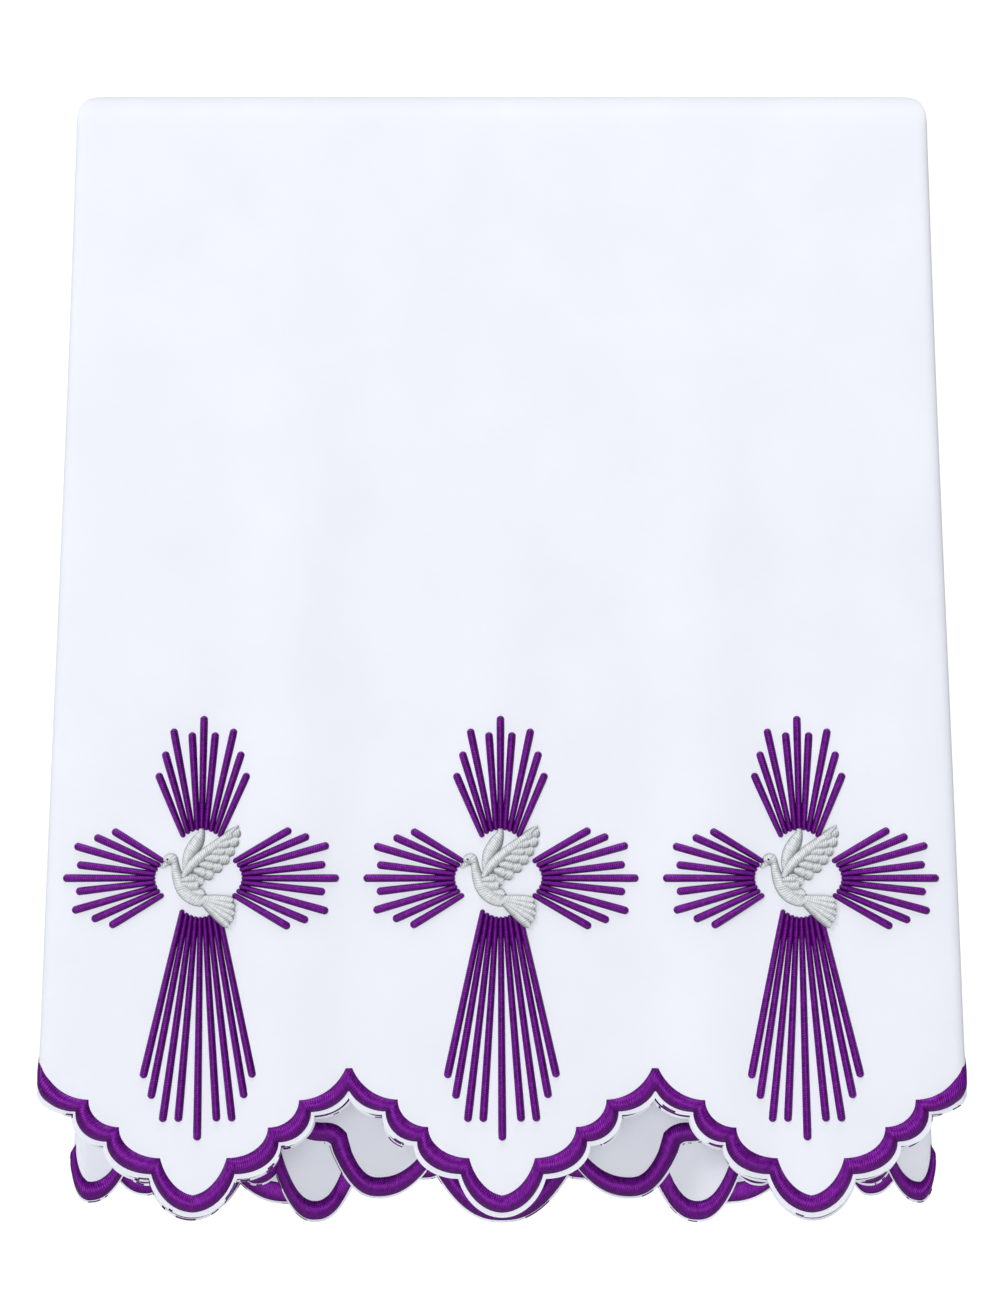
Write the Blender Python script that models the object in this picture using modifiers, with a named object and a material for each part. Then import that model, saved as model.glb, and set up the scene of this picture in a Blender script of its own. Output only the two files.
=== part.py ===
"""Altar cloth hanging folded over a bar that isn't part of it.

One flat cloth with scalloped hems is laid out as it is cut, then folded: its
two sides turn in behind the face, their ends turn back once more, and the
whole stack hangs over the bar, half in front and half behind.

Metres, +Z up, +X to the viewer's right, +Y away from the viewer. The origin is
where the top of the bar touches the innermost layer.

Words used below:
  across  distance over the flat cloth from its middle line
  run     distance along the flat cloth from the top of the bar, front negative
  drop    how far a point hangs below the bar's axis
  face, flap, tuck   the outer panel, the side folded in, its end folded back
"""

import math
from bisect import bisect_right

import bmesh
import bpy

# Cloth
THICKNESS = 0.0010
REPEAT = 0.1915
FACE_HALF = 0.2903
FLAP_WIDTH = 0.2345
TUCK_WIDTH = 0.104

# Bar and the stack over it
BAR_RADIUS = 0.024
LAYER_STEP = 0.0015
FACE_RADIUS = BAR_RADIUS + THICKNESS / 2 + 2 * LAYER_STEP
BEND_RUN = FACE_RADIUS * math.pi / 2
LAYER_SPREAD = {"face": 0.0020, "flap": 0.0008, "tuck": 0.0}

# Half width of the hung cloth
TOP_HALF = 0.2845
HEM_HALF = {"front": 0.2905, "rear": 0.2760}
HEM_FLARE = 0.0030
CORNER_PULL = 0.0115
CORNER_REACH = 0.008
FLARE_REACH = 0.020
STRETCH_POWER = 8
REAR_LEAN = 0.0045
REAR_LEAN_DROP = 0.7

# Side folds, flat over the bar and fullest just under its ends
SIDE_FOLD_WIDTH = 0.0080
SIDE_FOLD_DEPTH = 0.0040
SIDE_FOLD_RUN = 0.0095
SIDE_FOLD_OPENS = (-0.020, 0.055)
SIDE_FOLD_EASE = 0.025
CORNER_PUFF = 0.0018
CORNER_PUFF_AT = (0.012, 0.016)

# Small folds where the flaps turn back
INNER_FOLD_RUN = 0.0020

# Soft upright folds: (waves per metre, phase, height)
SOFT_FOLDS = ((9.0, 0.4, 0.0011), (14.5, 2.1, 0.0006), (4.2, 4.0, 0.0009))

# Front hem, one repeat: (out from the middle of the repeat, up from its lowest point, sweep in degrees)
FRONT_LOWEST = -0.7324
FRONT_SCALLOPS = (
    (0.0272, 0.0233, 70),
    (0.0549, 0.0432, 90),
    (0.0748, 0.0619, 90),
    (REPEAT / 2, 0.0722, 65),
)
FOLD_LIFT = 0.0020
FLAP_SLIP = 0.0024
FLAP_SHIFT = 0.0036
TUCK_FRONT_HEM = -0.6500

# Rear hem, one half: (lowest point x, its z, far corner x, its z), x from the middle line
REAR_FACE = (
    (0.0000, -0.7465, 0.0410, -0.7178),
    (0.0500, -0.7195, 0.0590, -0.7090),
    (0.0800, -0.7220, 0.1050, -0.7160),
    (0.1370, -0.7345, 0.1680, -0.7220),
    (0.1900, -0.7395, 0.2160, -0.7180),
    (0.2290, -0.7295, 0.2520, -0.7140),
    (0.2630, -0.7210, 0.2790, -0.7110),
)
REAR_FLAP = (
    (0.2668, -0.7325, 0.2465, -0.7140),
    (0.2330, -0.7225, 0.2140, -0.7080),
    (0.1960, -0.7220, 0.1760, -0.7080),
    (0.1620, -0.7225, 0.1490, -0.7165),
    (0.1226, -0.7460, 0.0962, -0.7205),
    (0.0750, -0.7240, 0.0465, -0.7060),
)
REAR_TUCK = (
    (0.0807, -0.7305, 0.1140, -0.6975),
    (0.1180, -0.6960, 0.1500, -0.6800),
)
REAR_SCALLOP_POWER = 2.3

# How finely the sheet is divided
FACE_COLUMNS = 8
FOLD_SEGMENTS = 6
FLAP_COLUMNS = (0.020, 0.085, 0.160)
DROPS = (0.0, 0.020, 0.055, 0.120, 0.240, 0.400, 0.570)
BEND_SEGMENTS = 10
SCALLOP_SEGMENTS = 5

FLAP_END = FACE_HALF + FLAP_WIDTH
CLOTH_END = FLAP_END + TUCK_WIDTH
CLOTH_COLOUR = (0.87, 0.89, 0.95, 1.0)


def clear_scene():
    for obj in list(bpy.context.scene.objects):
        bpy.data.objects.remove(obj, do_unlink=True)


def smooth(value):
    """0 below 0, 1 above 1, and an even S between."""
    value = min(max(value, 0.0), 1.0)
    return value * value * (3 - 2 * value)


def blend(first, second, share):
    return first + (second - first) * share


# The hung shape


def half_width(drop, side):
    """Half width of the stack: drawn in over the bar's ends, and flared again at the stiff hem."""
    hem = FRONT_LOWEST if side == "front" else REAR_FACE[0][1]
    to_hem = -hem - BAR_RADIUS
    width = blend(TOP_HALF, HEM_HALF[side], smooth(drop / to_hem))
    width -= CORNER_PULL * math.exp(-max(drop + FACE_RADIUS, 0.0) / CORNER_REACH)
    return width + HEM_FLARE * math.exp(-max(to_hem - 0.045 - drop, 0.0) / FLARE_REACH)


def layer_depth(layer, drop):
    """How far a layer's middle lies inside the face's own radius."""
    step = {"face": 0, "flap": 1, "tuck": 2}[layer] * LAYER_STEP
    return step - LAYER_SPREAD[layer] * smooth(drop / 0.6)


def side_fold_depth(drop):
    """Half the distance between face and flap in the side fold."""
    start, reach = SIDE_FOLD_OPENS
    depth = blend(LAYER_STEP / 2, SIDE_FOLD_DEPTH, smooth((drop - start) / reach))
    middle, spread = CORNER_PUFF_AT
    return depth + CORNER_PUFF * math.exp(-(((drop - middle) / spread) ** 2))


def section(across, drop, side):
    """(x, depth inside the face's radius) of a point of the stack, for across from 0 up."""
    width = half_width(drop, side)
    turn_depth = side_fold_depth(drop)
    flat_half = width - SIDE_FOLD_WIDTH
    face = layer_depth("face", drop)
    flap = layer_depth("flap", drop)
    tuck = layer_depth("tuck", drop)
    if across <= FACE_HALF - SIDE_FOLD_RUN:
        flat = FACE_HALF - SIDE_FOLD_RUN
        return across + (flat_half - flat) * (across / flat) ** STRETCH_POWER, face
    past = across - FACE_HALF - SIDE_FOLD_RUN
    if past <= 0:
        angle = math.pi * (1 + past / (2 * SIDE_FOLD_RUN))
        x = flat_half + SIDE_FOLD_WIDTH * math.sin(angle)
        return x, face + turn_depth * (1 - math.cos(angle))
    inner = FLAP_END - INNER_FOLD_RUN
    eased = flap + (face + 2 * turn_depth - flap) * math.exp(-past / SIDE_FOLD_EASE)
    if across <= inner:
        return flat_half - past, eased
    turn_x = flat_half - (inner - FACE_HALF - SIDE_FOLD_RUN)
    turn = (tuck - flap) / 2
    past = across - inner
    if past <= 2 * INNER_FOLD_RUN:
        angle = math.pi * past / (2 * INNER_FOLD_RUN)
        return turn_x - turn * math.sin(angle), flap + turn * (1 - math.cos(angle))
    return turn_x + past - 2 * INNER_FOLD_RUN, tuck


def soft_fold(x, drop, side):
    """Small in and out of the hanging cloth, the same for every layer so that they keep apart."""
    phase = 0.0 if side == "front" else 1.3
    wave = sum(h * math.sin(2 * math.pi * n * x + p + phase) for n, p, h in SOFT_FOLDS)
    return wave * smooth(drop / 0.35)


def lean(x, drop, side):
    """Shift of the rear half to the viewer's right, greatest low down between middle and sides."""
    if side == "front":
        return 0.0
    place = (x / TOP_HALF) ** 2
    return REAR_LEAN * smooth(drop / REAR_LEAN_DROP) * 4 * place * (1 - place)


def hang(across, run):
    """Place of a point of the flat cloth once it hangs."""
    side = "front" if run < 0 else "rear"
    sign = -1.0 if run < 0 else 1.0
    past_bend = abs(run) - BEND_RUN
    if past_bend <= 0:
        angle = run / FACE_RADIUS
        drop = -FACE_RADIUS * math.cos(angle)
        x, depth = section(abs(across), drop, side)
        radius = FACE_RADIUS - depth
        y = radius * math.sin(angle)
        z = radius * math.cos(angle) - BAR_RADIUS
    else:
        drop = past_bend
        x, depth = section(abs(across), drop, side)
        y = sign * (FACE_RADIUS - depth + soft_fold(x, drop, side))
        z = -BAR_RADIUS - drop
    x = math.copysign(x, across)
    return x + lean(x, drop, side), y, z


# The flat outline


def scallop(start, low, end, power):
    """Points of one scallop from start, which is left out, to end, by way of its lowest point."""
    points = []
    for step in range(1, 2 * SCALLOP_SEGMENTS + 1):
        share = step / SCALLOP_SEGMENTS - 1
        corner = start if share < 0 else end
        across = blend(low[0], corner[0], abs(share))
        points.append((across, blend(low[1], corner[1], abs(share) ** power)))
    return points


def rising_scallop(start, end, sweep):
    """Points of a scallop that leaves start level and climbs to end, as part of an ellipse."""
    points = []
    for step in range(1, SCALLOP_SEGMENTS + 1):
        angle = math.radians(sweep) * step / SCALLOP_SEGMENTS
        out = math.sin(angle) / math.sin(math.radians(sweep))
        up = (1 - math.cos(angle)) / (1 - math.cos(math.radians(sweep)))
        points.append((blend(start[0], end[0], out), blend(start[1], end[1], up)))
    return points


def half_repeat():
    """Half a repeat of the front hem, from its lowest point out to its peak: (out, up)."""
    points = [(0.0, 0.0)]
    for out, up, sweep in FRONT_SCALLOPS:
        points += rising_scallop(points[-1], (out, up), sweep)
    return points


def front_hem():
    """(across, z) of the front hem from the middle line to the cloth's end."""
    half = half_repeat()
    face = half + [(REPEAT - out, up) for out, up in reversed(half[:-1])]
    face += [(REPEAT + out, up) for out, up in half[1:]]
    fold = (FACE_HALF, half[-1][1] + FOLD_LIFT)
    flap = [(2 * FACE_HALF + FLAP_SHIFT - across, up) for across, up in reversed(face)]
    level = []
    for across, up in [*face, fold, *flap]:
        if across > FLAP_END - INNER_FOLD_RUN:
            break
        slip = FLAP_SLIP * smooth((across - FACE_HALF) / SIDE_FOLD_RUN)
        level.append((across, FRONT_LOWEST + up - slip))
    level.append((FLAP_END + INNER_FOLD_RUN, TUCK_FRONT_HEM))
    level.append((CLOTH_END, TUCK_FRONT_HEM))
    return level


def rear_across(x, layer):
    """Distance over the flat cloth of a rear point at x on the given layer."""
    width = HEM_HALF["rear"] + HEM_FLARE
    if layer == "face":
        return x * FACE_HALF / width
    if layer == "flap":
        return min(FACE_HALF + width - x, FLAP_END - INNER_FOLD_RUN)
    return min(FLAP_END + x - (width - FLAP_WIDTH), CLOTH_END)


def rear_hem():
    """(across, z) of the rear hem from the middle line to the cloth's end."""
    first = REAR_FACE[0]
    corner = (-rear_across(first[2], "face"), first[3])
    points = []
    for layer, rows in (("face", REAR_FACE), ("flap", REAR_FLAP), ("tuck", REAR_TUCK)):
        for low_x, low_z, far_x, far_z in rows:
            low = (rear_across(low_x, layer), low_z)
            end = (rear_across(far_x, layer), far_z)
            points += scallop(corner, low, end, REAR_SCALLOP_POWER)
            corner = end
    return [(0.0, first[1])] + [point for point in points if point[0] > 1e-6]


def level_at(hem, across):
    """Height of the hem at a place between its points."""
    index = min(max(bisect_right([point[0] for point in hem], across), 1), len(hem) - 1)
    (near, low), (far, high) = hem[index - 1], hem[index]
    share = 0.0 if far - near < 1e-9 else min(max((across - near) / (far - near), 0.0), 1.0)
    return blend(low, high, share)


# The sheet


def half_columns():
    """Places across half the cloth where the sheet is divided, the folds among them."""
    flat = FACE_HALF - SIDE_FOLD_RUN
    columns = [flat * step / FACE_COLUMNS for step in range(FACE_COLUMNS)]
    columns += fold_columns(FACE_HALF, SIDE_FOLD_RUN)
    columns += [FACE_HALF + SIDE_FOLD_RUN + out for out in FLAP_COLUMNS]
    columns += fold_columns(FLAP_END, INNER_FOLD_RUN)
    return columns + [blend(FLAP_END, CLOTH_END, 0.5), CLOTH_END]


def fold_columns(middle, reach):
    return [middle + reach * (2 * step / FOLD_SEGMENTS - 1) for step in range(FOLD_SEGMENTS + 1)]


def mirrored(values):
    return [-value for value in reversed(values[1:])] + values


def bend_and_drop_rows():
    """Runs of the rows, from the lowest in front, over the bar, to the lowest behind."""
    half = [BEND_RUN * 2 * step / BEND_SEGMENTS for step in range(BEND_SEGMENTS // 2)]
    half += [BEND_RUN + drop for drop in DROPS]
    return mirrored(half)


def run_of(z, side):
    run = BEND_RUN - BAR_RADIUS - z
    return -run if side == "front" else run


def hem_strip(sheet, row, columns, hem, side):
    """Faces between the last row and the hem, one to each column gap, with the hem's points."""
    ends = [sheet.verts.new((x, run_of(level_at(hem, abs(x)), side), 0)) for x in columns]
    for index in range(len(columns) - 1):
        left, right = columns[index], columns[index + 1]
        inside = [(math.copysign(a, left + right), z) for a, z in hem]
        inside = sorted(p for p in inside if left + 1e-5 < p[0] < right - 1e-5)
        between = [sheet.verts.new((x, run_of(z, side), 0)) for x, z in inside]
        loop = [row[index], ends[index], *between, ends[index + 1], row[index + 1]]
        sheet.faces.new(loop if side == "rear" else loop[::-1])


def flat_sheet():
    """The cloth as it is cut, lying flat: x is across, y is run."""
    sheet = bmesh.new()
    columns = mirrored(half_columns())
    rows = bend_and_drop_rows()
    grid = [[sheet.verts.new((across, run, 0)) for across in columns] for run in rows]
    for lower, upper in zip(grid, grid[1:]):
        for index in range(len(columns) - 1):
            sheet.faces.new((lower[index], lower[index + 1], upper[index + 1], upper[index]))
    hem_strip(sheet, grid[0], columns, front_hem(), "front")
    hem_strip(sheet, grid[-1], columns, rear_hem(), "rear")
    bmesh.ops.recalc_face_normals(sheet, faces=sheet.faces[:])
    bmesh.ops.triangulate(sheet, faces=sheet.faces[:], ngon_method="EAR_CLIP")
    return sheet


def cloth_material():
    material = bpy.data.materials.new("white_cloth")
    material.use_nodes = True
    shader = material.node_tree.nodes["Principled BSDF"]
    shader.inputs["Base Color"].default_value = CLOTH_COLOUR
    shader.inputs["Roughness"].default_value = 0.85
    shader.inputs["Metallic"].default_value = 0.0
    return material


def make_cloth(collection):
    sheet = flat_sheet()
    for vertex in sheet.verts:
        vertex.co = hang(vertex.co.x, vertex.co.y)
    mesh = bpy.data.meshes.new("altar_cloth")
    sheet.to_mesh(mesh)
    sheet.free()
    mesh.shade_smooth()
    mesh.materials.append(cloth_material())
    cloth = bpy.data.objects.new("altar_cloth", mesh)
    collection.objects.link(cloth)
    solid = cloth.modifiers.new("thickness", "SOLIDIFY")
    solid.thickness = THICKNESS
    solid.offset = 0.0
    solid.use_even_offset = False
    return cloth


def main():
    clear_scene()
    collection = bpy.data.collections.new("altar_cloth")
    bpy.context.scene.collection.children.link(collection)
    make_cloth(collection)


main()
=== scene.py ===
"""Looks of an altar cloth that hangs folded over a bar: the fine sheet with its satin-stitched
hem, three crosses of rays and three doves.

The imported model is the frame. The sheet is laid out flat, as it is cut, and hung by the same
rules as the CAD part. They are repeated here, because this script reads only the frame.

Metres, +Z up, +X to the viewer's right, +Y away from the viewer. The origin is where the top
of the bar touches the innermost layer.

Words used below:
  across  distance over the flat cloth from its middle line
  run     distance along the flat cloth from the top of the bar, front negative
  drop    how far a point hangs below the bar's axis
  face, flap, tuck   the outer panel, the side folded in, its end folded back
  crown   how far stitching stands up at its middle
"""

import math
import random
from bisect import bisect_right

import bmesh
import bpy
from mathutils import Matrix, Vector

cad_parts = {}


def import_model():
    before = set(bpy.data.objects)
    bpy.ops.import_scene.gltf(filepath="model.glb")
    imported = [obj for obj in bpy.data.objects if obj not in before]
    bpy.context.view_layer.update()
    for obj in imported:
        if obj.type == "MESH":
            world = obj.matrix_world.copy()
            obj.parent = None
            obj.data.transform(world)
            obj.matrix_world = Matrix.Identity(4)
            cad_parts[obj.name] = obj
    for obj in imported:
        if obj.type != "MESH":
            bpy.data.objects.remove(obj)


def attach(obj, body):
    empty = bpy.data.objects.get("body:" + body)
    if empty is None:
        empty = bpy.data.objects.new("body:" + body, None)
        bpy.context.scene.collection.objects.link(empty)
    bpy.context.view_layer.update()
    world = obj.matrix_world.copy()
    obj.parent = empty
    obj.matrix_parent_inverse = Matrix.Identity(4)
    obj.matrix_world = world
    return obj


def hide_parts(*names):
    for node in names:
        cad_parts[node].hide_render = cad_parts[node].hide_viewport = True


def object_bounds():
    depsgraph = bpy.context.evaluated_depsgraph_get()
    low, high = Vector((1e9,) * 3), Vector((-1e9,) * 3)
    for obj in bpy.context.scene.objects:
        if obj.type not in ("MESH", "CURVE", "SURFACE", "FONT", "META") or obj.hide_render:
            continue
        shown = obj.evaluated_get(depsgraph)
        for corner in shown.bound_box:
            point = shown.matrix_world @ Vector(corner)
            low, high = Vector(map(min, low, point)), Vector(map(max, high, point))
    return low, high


# Cloth, as in the CAD part
REPEAT = 0.1915
FACE_HALF = 0.2903
FLAP_WIDTH = 0.2345
TUCK_WIDTH = 0.104
SOLID_THICKNESS = 0.0010

# Bar and the stack over it
BAR_RADIUS = 0.024
LAYER_STEP = 0.0015
FACE_RADIUS = BAR_RADIUS + SOLID_THICKNESS / 2 + 2 * LAYER_STEP
BEND_RUN = FACE_RADIUS * math.pi / 2
LAYER_SPREAD = {"face": 0.0020, "flap": 0.0008, "tuck": 0.0}

# Half width of the hung cloth
TOP_HALF = 0.2845
HEM_HALF = {"front": 0.2905, "rear": 0.2760}
HEM_FLARE = 0.0030
CORNER_PULL = 0.0115
CORNER_REACH = 0.008
FLARE_REACH = 0.020
STRETCH_POWER = 8
REAR_LEAN = 0.0045
REAR_LEAN_DROP = 0.7

# Side folds, flat over the bar and fullest just under its ends
SIDE_FOLD_WIDTH = 0.0080
SIDE_FOLD_DEPTH = 0.0040
SIDE_FOLD_RUN = 0.0095
SIDE_FOLD_OPENS = (-0.020, 0.055)
SIDE_FOLD_EASE = 0.025
CORNER_PUFF = 0.0018
CORNER_PUFF_AT = (0.012, 0.016)

# Small folds where the flaps turn back
INNER_FOLD_RUN = 0.0020

# Soft upright folds: (waves per metre, phase, height)
SOFT_FOLDS = ((9.0, 0.4, 0.0011), (14.5, 2.1, 0.0006), (4.2, 4.0, 0.0009))

# Front hem, one repeat: (out from the middle of the repeat, up from its lowest point, sweep in
# degrees)
FRONT_LOWEST = -0.7324
FRONT_SCALLOPS = (
    (0.0272, 0.0233, 70),
    (0.0549, 0.0432, 90),
    (0.0748, 0.0619, 90),
    (REPEAT / 2, 0.0722, 65),
)
FOLD_LIFT = 0.0020
FLAP_SLIP = 0.0024
FLAP_SHIFT = 0.0036
TUCK_FRONT_HEM = -0.6500

# Rear hem, one half: (lowest point x, its z, far corner x, its z), x from the middle line
REAR_FACE = (
    (0.0000, -0.7465, 0.0410, -0.7178),
    (0.0500, -0.7195, 0.0590, -0.7090),
    (0.0800, -0.7220, 0.1050, -0.7160),
    (0.1370, -0.7345, 0.1680, -0.7220),
    (0.1900, -0.7395, 0.2160, -0.7180),
    (0.2290, -0.7295, 0.2520, -0.7140),
    (0.2630, -0.7210, 0.2790, -0.7110),
)
REAR_FLAP = (
    (0.2668, -0.7325, 0.2465, -0.7140),
    (0.2330, -0.7225, 0.2140, -0.7080),
    (0.1960, -0.7220, 0.1760, -0.7080),
    (0.1620, -0.7225, 0.1490, -0.7165),
    (0.1226, -0.7460, 0.0962, -0.7205),
    (0.0750, -0.7240, 0.0465, -0.7060),
)
REAR_TUCK = (
    (0.0807, -0.7305, 0.1140, -0.6975),
    (0.1180, -0.6960, 0.1500, -0.6800),
)
REAR_SCALLOP_POWER = 2.3

FLAP_END = FACE_HALF + FLAP_WIDTH
CLOTH_END = FLAP_END + TUCK_WIDTH

# The fine sheet
SHEET_THICKNESS = 0.0007
FACE_COLUMNS = 36
FOLD_SEGMENTS = 16
FLAP_STEP = 0.010
BEND_SEGMENTS = 28
DROP_STEP = 0.016
LAST_DROP = 0.600
RIM_ANGLE = 50
NORMAL_REACH = 0.0006
SAME_PLACE = 1e-6
BETWEEN_COLUMNS = 1e-5
SMALLEST_STEP = 1e-7
SMALLEST_SLOPE_RUN = 1e-4
SCALLOP_SEGMENTS = 14

# Satin border: its outer edge's share of the way from the cut edge to the inner edge, its depth
# at a scallop's lowest point, and (lean, rise) of each inner corner of the front hem from the cut one
BAND_OUTER_SHARE = 0.22
THIN_RIM_SHARE = 0.10
BAND_INNER_RISE = 0.0134
BAND_CORNERS = ((-0.0068, 0.0126), (-0.0089, 0.0115), (-0.0097, 0.0095), (-0.0020, 0.0184))
INNER_LOW_POINT = 0.15
INNER_FOLD_LIFT = 0.0080
BAND_CROWN = 0.0026
HIDDEN_CROWN = 0.30
SINGLE_LAYER_HALF = 0.045
TUCK_COVERS = 0.465
STRAY_CHANCE = {"face": 0.20, "behind": 0.38}
STRAY_LONGEST = 6
STRAY_GAPS = (1, 3)
STRAY_SEEDS = {"front": 5, "rear": 11}
STRAY_WIDTHS = (0.03, 0.09)
STRAY_CROWN = 0.0005
MITRE_LONGEST = 0.0160
MITRE_SHARPEST = 0.3
MITRE_REACH = 0.0018
MITRE_DIP = 0.65
CORNER_ANGLE = 35
CROWN_POINTS = 9
CROWN_SHAPE = (2.0, 1.0)

# Crosses of rays: tips as (out from the middle, to the side), for one half of each arm
CROSS_PITCH = 0.1897
CROSS_MIDDLE = -0.0010
CROSS_HEIGHT = -0.5210
RAY_ARMS = {
    "up": ((0.1000, 0.0), (0.0895, 0.0075), (0.0918, 0.0195), (0.0771, 0.0247), (0.0634, 0.0287)),
    "left": ((0.0855, 0.0), (0.0770, 0.0085), (0.0790, 0.0205), (0.0665, 0.0262), (0.0553, 0.0302)),
    "right": ((0.0890, 0.0), (0.0804, 0.0087), (0.0824, 0.0209), (0.0699, 0.0268), (0.0585, 0.0308)),
    "down": ((0.1650, 0.0), (0.1536, 0.0119), (0.1536, 0.0216), (0.1394, 0.0291), (0.1268, 0.0343)),
}
RING_OFFSET = Vector((-0.0014, -0.0031))
DOWN_ARM_TURN = 270.4
# How far the outermost root lies to the side, and how far it dips towards the middle
RAY_ROOTS = {
    "up": (0.0111, 0.0023),
    "left": (0.0101, 0.0036),
    "right": (0.0101, 0.0036),
    "down": (0.0111, 0.0023),
}
RAY_ROOT_RADIUS = 0.0272
RAY_HALF_WIDTHS = (0.0016, 0.0026)
RAY_CROWN = 0.0020
RAY_STEP = 0.003
RAY_END_STEPS = 5
RAY_END_CROWN = 0.12
RAY_WIDENING = 0.6

# Doves, in millimetres from the middle of the ring of rays: x to the right, z up.
# A padded part is (base, height, spine), and its spine is rows of (x, z, half width).
DOVE_BODY = (0.5, 3.2, (
    (9.6, -18.4, 1.4), (5.2, -17.4, 3.6), (-0.8, -15.4, 5.3), (-6.4, -12.0, 5.5),
    (-10.6, -7.2, 4.6), (-13.2, -1.4, 3.5), (-14.4, 3.6, 2.7), (-15.8, 9.0, 2.6),
))
DOVE_BEAK = (0.4, 1.7, ((-19.6, 7.2, 2.2), (-21.8, 5.2, 1.7), (-23.6, 3.2, 0.6)))
DOVE_HEAD = (0.8, 2.9, (
    (-22.0, 8.4, 1.2), (-20.6, 8.6, 2.8), (-18.4, 8.7, 3.8), (-16.4, 8.4, 3.7), (-14.8, 7.2, 2.4),
))
DOVE_EYE = (3.6, 0.5, ((-19.9, 8.7, 0.30), (-19.2, 8.7, 0.65), (-18.5, 8.7, 0.30)))
DOVE_FAR_WING = (0.2, 2.6, (
    (-8.8, 1.0, 0.8), (-8.0, 6.6, 2.6), (-5.4, 12.8, 4.2),
    (-1.4, 19.4, 4.4), (1.2, 25.4, 2.4), (1.2, 31.4, 0.4),
))
DOVE_TAIL_ROOT = (0.5, -15.6)
DOVE_TAIL_TIPS = ((22.6, -17.2), (23.6, -21.4), (23.4, -25.6), (22.2, -29.6), (19.6, -33.2))
DOVE_TAIL_HALF = 2.9
DOVE_TAIL_LEVEL = (1.7, 1.6)
DOVE_WING_TIPS = (
    (25.6, 27.0), (25.0, 20.8), (22.6, 14.4), (19.4, 8.8), (15.0, 3.4), (9.4, -1.6), (3.2, -6.0),
)
DOVE_WING_ROOTS = ((14.0, 20.5), (-6.0, -1.5))
DOVE_WING_HALF = 3.9
DOVE_WING_LEVEL = (0.2, 1.9)
DOVE_COVERT_REACH = 0.62
DOVE_COVERT_HALF = 3.12
DOVE_COVERT_LEVEL = (1.2, 1.7)
# Every second feather lies this much higher, in the tail and in the wing
DOVE_TAIL_STEP = 0.2
DOVE_WING_STEP = 0.3
DOVE_ARM = (1.3, 2.3, (
    (-9.4, -2.6, 1.8), (-5.2, 3.8, 3.3), (1.8, 10.6, 3.6),
    (10.0, 17.2, 3.1), (18.0, 23.4, 2.2), (24.8, 30.0, 0.6),
))
# A feather is (base, height, root, tip, half width)
DOVE_FLANK = (
    (1.0, 2.2, (-9.0, -10.4), (4.2, -13.4), 3.2),
    (1.5, 2.4, (-10.6, -6.6), (0.4, -8.4), 4.2),
    (2.3, 2.0, (-10.4, -4.4), (-1.6, -3.4), 2.4),
)
FEATHER_SHAPE = ((0.0, 0.45), (0.3, 0.85), (0.65, 1.0), (0.90, 0.90), (1.0, 0.45))
SPINE_STEPS = 5
NARROWEST = 0.1
MM = 0.001


def smooth(value):
    """0 below 0, 1 above 1, and an even S between."""
    value = min(max(value, 0.0), 1.0)
    return value * value * (3 - 2 * value)


def blend(first, second, share):
    return first + (second - first) * share


# The hung shape, as in the CAD part


def half_width(drop, side):
    """Half width of the stack: drawn in over the bar's ends, and flared again at the stiff hem."""
    hem = FRONT_LOWEST if side == "front" else REAR_FACE[0][1]
    to_hem = -hem - BAR_RADIUS
    width = blend(TOP_HALF, HEM_HALF[side], smooth(drop / to_hem))
    width -= CORNER_PULL * math.exp(-max(drop + FACE_RADIUS, 0.0) / CORNER_REACH)
    return width + HEM_FLARE * math.exp(-max(to_hem - 0.045 - drop, 0.0) / FLARE_REACH)


def layer_depth(layer, drop):
    """How far a layer's middle lies inside the face's own radius."""
    step = {"face": 0, "flap": 1, "tuck": 2}[layer] * LAYER_STEP
    return step - LAYER_SPREAD[layer] * smooth(drop / 0.6)


def side_fold_depth(drop):
    """Half the distance between face and flap in the side fold."""
    start, reach = SIDE_FOLD_OPENS
    depth = blend(LAYER_STEP / 2, SIDE_FOLD_DEPTH, smooth((drop - start) / reach))
    middle, spread = CORNER_PUFF_AT
    return depth + CORNER_PUFF * math.exp(-(((drop - middle) / spread) ** 2))


def section(across, drop, side):
    """(x, depth inside the face's radius) of a point of the stack, for across from 0 up."""
    width = half_width(drop, side)
    turn_depth = side_fold_depth(drop)
    flat_half = width - SIDE_FOLD_WIDTH
    face = layer_depth("face", drop)
    flap = layer_depth("flap", drop)
    tuck = layer_depth("tuck", drop)
    if across <= FACE_HALF - SIDE_FOLD_RUN:
        flat = FACE_HALF - SIDE_FOLD_RUN
        return across + (flat_half - flat) * (across / flat) ** STRETCH_POWER, face
    past = across - FACE_HALF - SIDE_FOLD_RUN
    if past <= 0:
        angle = math.pi * (1 + past / (2 * SIDE_FOLD_RUN))
        x = flat_half + SIDE_FOLD_WIDTH * math.sin(angle)
        return x, face + turn_depth * (1 - math.cos(angle))
    inner = FLAP_END - INNER_FOLD_RUN
    eased = flap + (face + 2 * turn_depth - flap) * math.exp(-past / SIDE_FOLD_EASE)
    if across <= inner:
        return flat_half - past, eased
    turn_x = flat_half - (inner - FACE_HALF - SIDE_FOLD_RUN)
    turn = (tuck - flap) / 2
    past = across - inner
    if past <= 2 * INNER_FOLD_RUN:
        angle = math.pi * past / (2 * INNER_FOLD_RUN)
        return turn_x - turn * math.sin(angle), flap + turn * (1 - math.cos(angle))
    return turn_x + past - 2 * INNER_FOLD_RUN, tuck


def soft_fold(x, drop, side):
    """Small in and out of the hanging cloth, the same for every layer so that they keep apart."""
    phase = 0.0 if side == "front" else 1.3
    wave = sum(h * math.sin(2 * math.pi * n * x + p + phase) for n, p, h in SOFT_FOLDS)
    return wave * smooth(drop / 0.35)


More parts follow.
